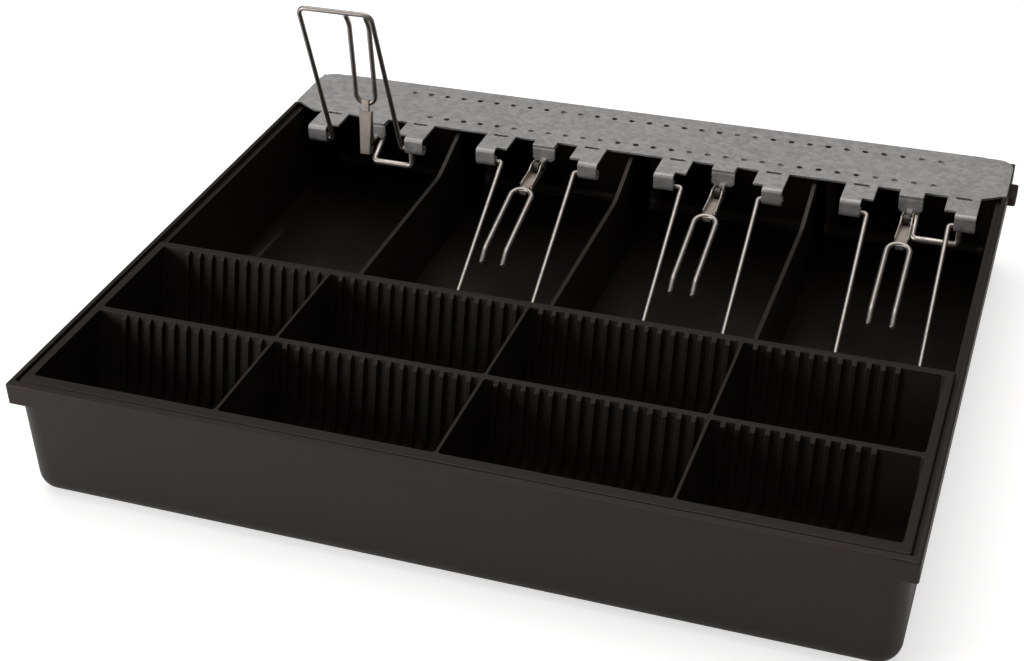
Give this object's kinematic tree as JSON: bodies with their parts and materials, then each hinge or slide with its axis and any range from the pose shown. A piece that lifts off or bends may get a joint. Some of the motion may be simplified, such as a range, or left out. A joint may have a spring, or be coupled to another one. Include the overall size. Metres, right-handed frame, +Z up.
{
  "type": "cash drawer insert",
  "caption": "Moulded till tray with a lift-out coin tray, note bays and a perforated steel plate that carries hinged wire note clips.",
  "frame": {"origin": "middle of the base, on the surface that the tray rests on", "axes": "+X to the user's right, +Y to the rear where the steel plate is, +Z up"},
  "size_m": [0.377, 0.32, 0.1322],
  "materials": {
    "tray_plastic": "moulded, fine satin grain",
    "coin_plastic": "moulded, satin",
    "divider_plastic": "moulded, satin",
    "plate_steel": "plain zinc-coated sheet, satin",
    "bracket_steel": "plain zinc-coated sheet, satin",
    "clip_wire": "bright plated wire",
    "arm_steel": "plated sheet, slightly warm",
    "pin_steel": "plain steel"
  },
  "bodies": {
    "root": {"till_tray": "tray_plastic", "clip_plate": "plate_steel", "note_divider_left": "divider_plastic", "note_divider_centre": "divider_plastic", "note_divider_right": "divider_plastic", "plate_stay_left": "clip_wire", "plate_stay_right": "clip_wire", "clip_bracket_1": "bracket_steel", "clip_bracket_2": "bracket_steel", "clip_bracket_3": "bracket_steel", "clip_bracket_4": "bracket_steel"},
    "coin_tray": {"coin_tray": "coin_plastic"},
    "bail_1": {"bail_1": "clip_wire"},
    "fork_1": {"fork_1": "clip_wire", "fork_arm_1": "arm_steel", "fork_pin_1": "pin_steel"},
    "bail_2": {"bail_2": "clip_wire"},
    "fork_2": {"fork_2": "clip_wire", "fork_arm_2": "arm_steel", "fork_pin_2": "pin_steel"},
    "bail_3": {"bail_3": "clip_wire"},
    "fork_3": {"fork_3": "clip_wire", "fork_arm_3": "arm_steel", "fork_pin_3": "pin_steel"},
    "bail_4": {"bail_4": "clip_wire"},
    "fork_4": {"fork_4": "clip_wire", "fork_arm_4": "arm_steel", "fork_pin_4": "pin_steel"}
  },
  "joints": [
    {"name": "coin_tray_lift", "type": "slide", "parent": "root", "child": "coin_tray", "axis": [0, 0, 1], "range_m": [0, 0.06]},
    {"name": "bail_1_hinge", "type": "hinge", "parent": "root", "child": "bail_1", "pos_m": [-0.13455, 0.0974, 0.0483], "axis": [-1, 0, 0], "range_deg": [-101.7, 23]},
    {"name": "fork_1_hinge", "type": "hinge", "parent": "root", "child": "fork_1", "pos_m": [-0.13425, 0.0974, 0.0483], "axis": [-1, 0, 0], "range_deg": [-100.8, 1.2]},
    {"name": "bail_2_hinge", "type": "hinge", "parent": "root", "child": "bail_2", "pos_m": [-0.04165, 0.0974, 0.0483], "axis": [-1, 0, 0], "range_deg": [0, 124]},
    {"name": "fork_2_hinge", "type": "hinge", "parent": "root", "child": "fork_2", "pos_m": [-0.04175, 0.0974, 0.0483], "axis": [-1, 0, 0], "range_deg": [0, 102]},
    {"name": "bail_3_hinge", "type": "hinge", "parent": "root", "child": "bail_3", "pos_m": [0.05155, 0.0974, 0.0483], "axis": [-1, 0, 0], "range_deg": [0, 124]},
    {"name": "fork_3_hinge", "type": "hinge", "parent": "root", "child": "fork_3", "pos_m": [0.05075, 0.0974, 0.0483], "axis": [-1, 0, 0], "range_deg": [0, 102]},
    {"name": "bail_4_hinge", "type": "hinge", "parent": "root", "child": "bail_4", "pos_m": [0.14215, 0.0974, 0.0483], "axis": [-1, 0, 0], "range_deg": [0, 124]},
    {"name": "fork_4_hinge", "type": "hinge", "parent": "root", "child": "fork_4", "pos_m": [0.14205, 0.0974, 0.0483], "axis": [-1, 0, 0], "range_deg": [0, 102]}
  ]
}
